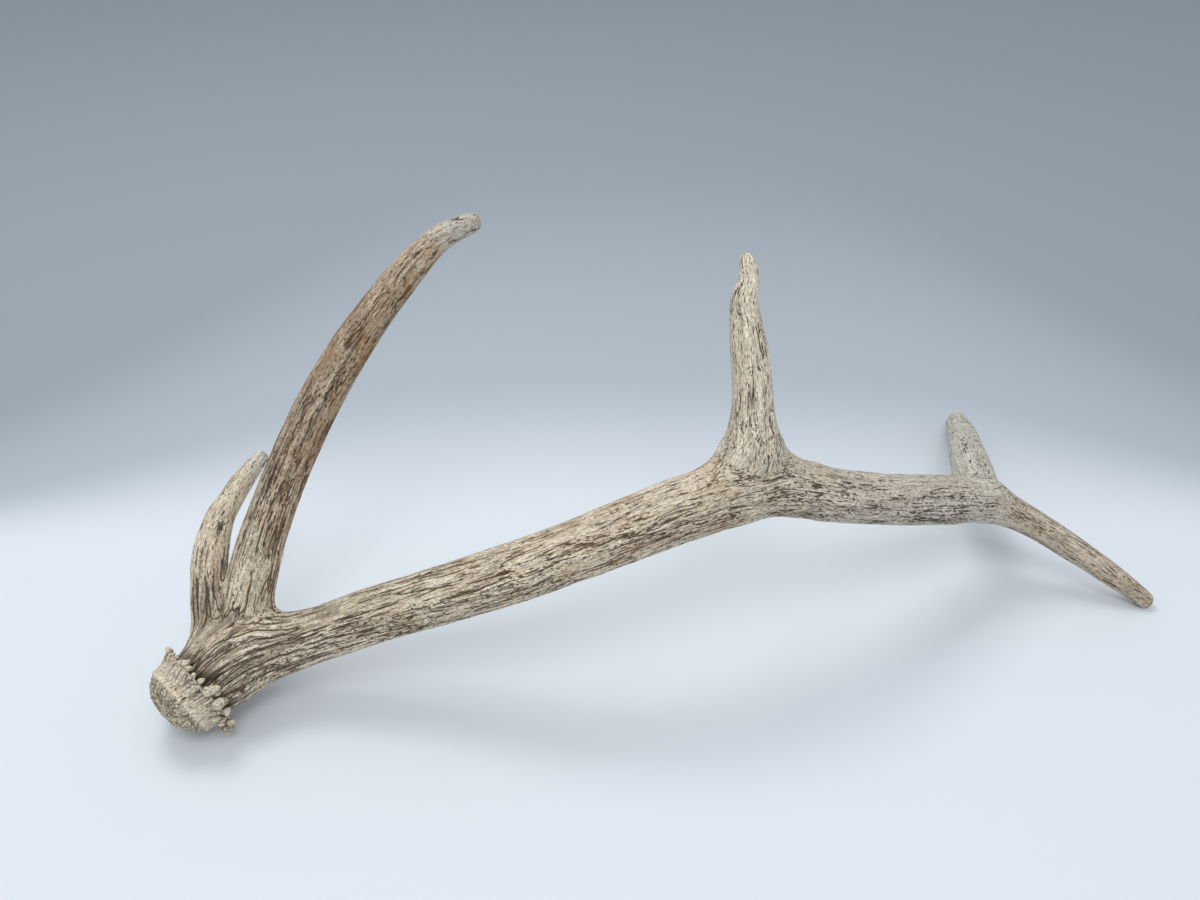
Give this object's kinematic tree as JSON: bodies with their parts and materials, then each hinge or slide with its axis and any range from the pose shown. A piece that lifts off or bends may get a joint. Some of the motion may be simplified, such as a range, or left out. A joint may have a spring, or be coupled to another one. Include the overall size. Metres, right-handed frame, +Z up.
{
  "type": "shed deer antler",
  "caption": "Shed red deer antler with a burr, a curved beam, brow, bez and trez tines and a forked crown, lying on three points.",
  "frame": {"origin": "on the ground under the middle of the antler's bounding box, as it lies", "axes": "+X from the burr towards the crown, +Y towards the side that the tines lean to, +Z up from the ground"},
  "size_m": [0.7768, 0.4243, 0.3367],
  "materials": {
    "beam_bone": "matte weathered bone, grooved along its length, with brown stain in the grooves",
    "tine_bone": "matte weathered bone, finely grooved, rubbed paler and smoother towards the tips",
    "crown_bone": "matte grey bone, nearly smooth, with a fine speckle"
  },
  "bodies": {
    "root": {"beam": "beam_bone", "brow_tine": "beam_bone", "bez_tine": "tine_bone", "trez_tine": "tine_bone", "crown_front_tine": "crown_bone", "crown_rear_tine": "crown_bone"}
  },
  "joints": []
}
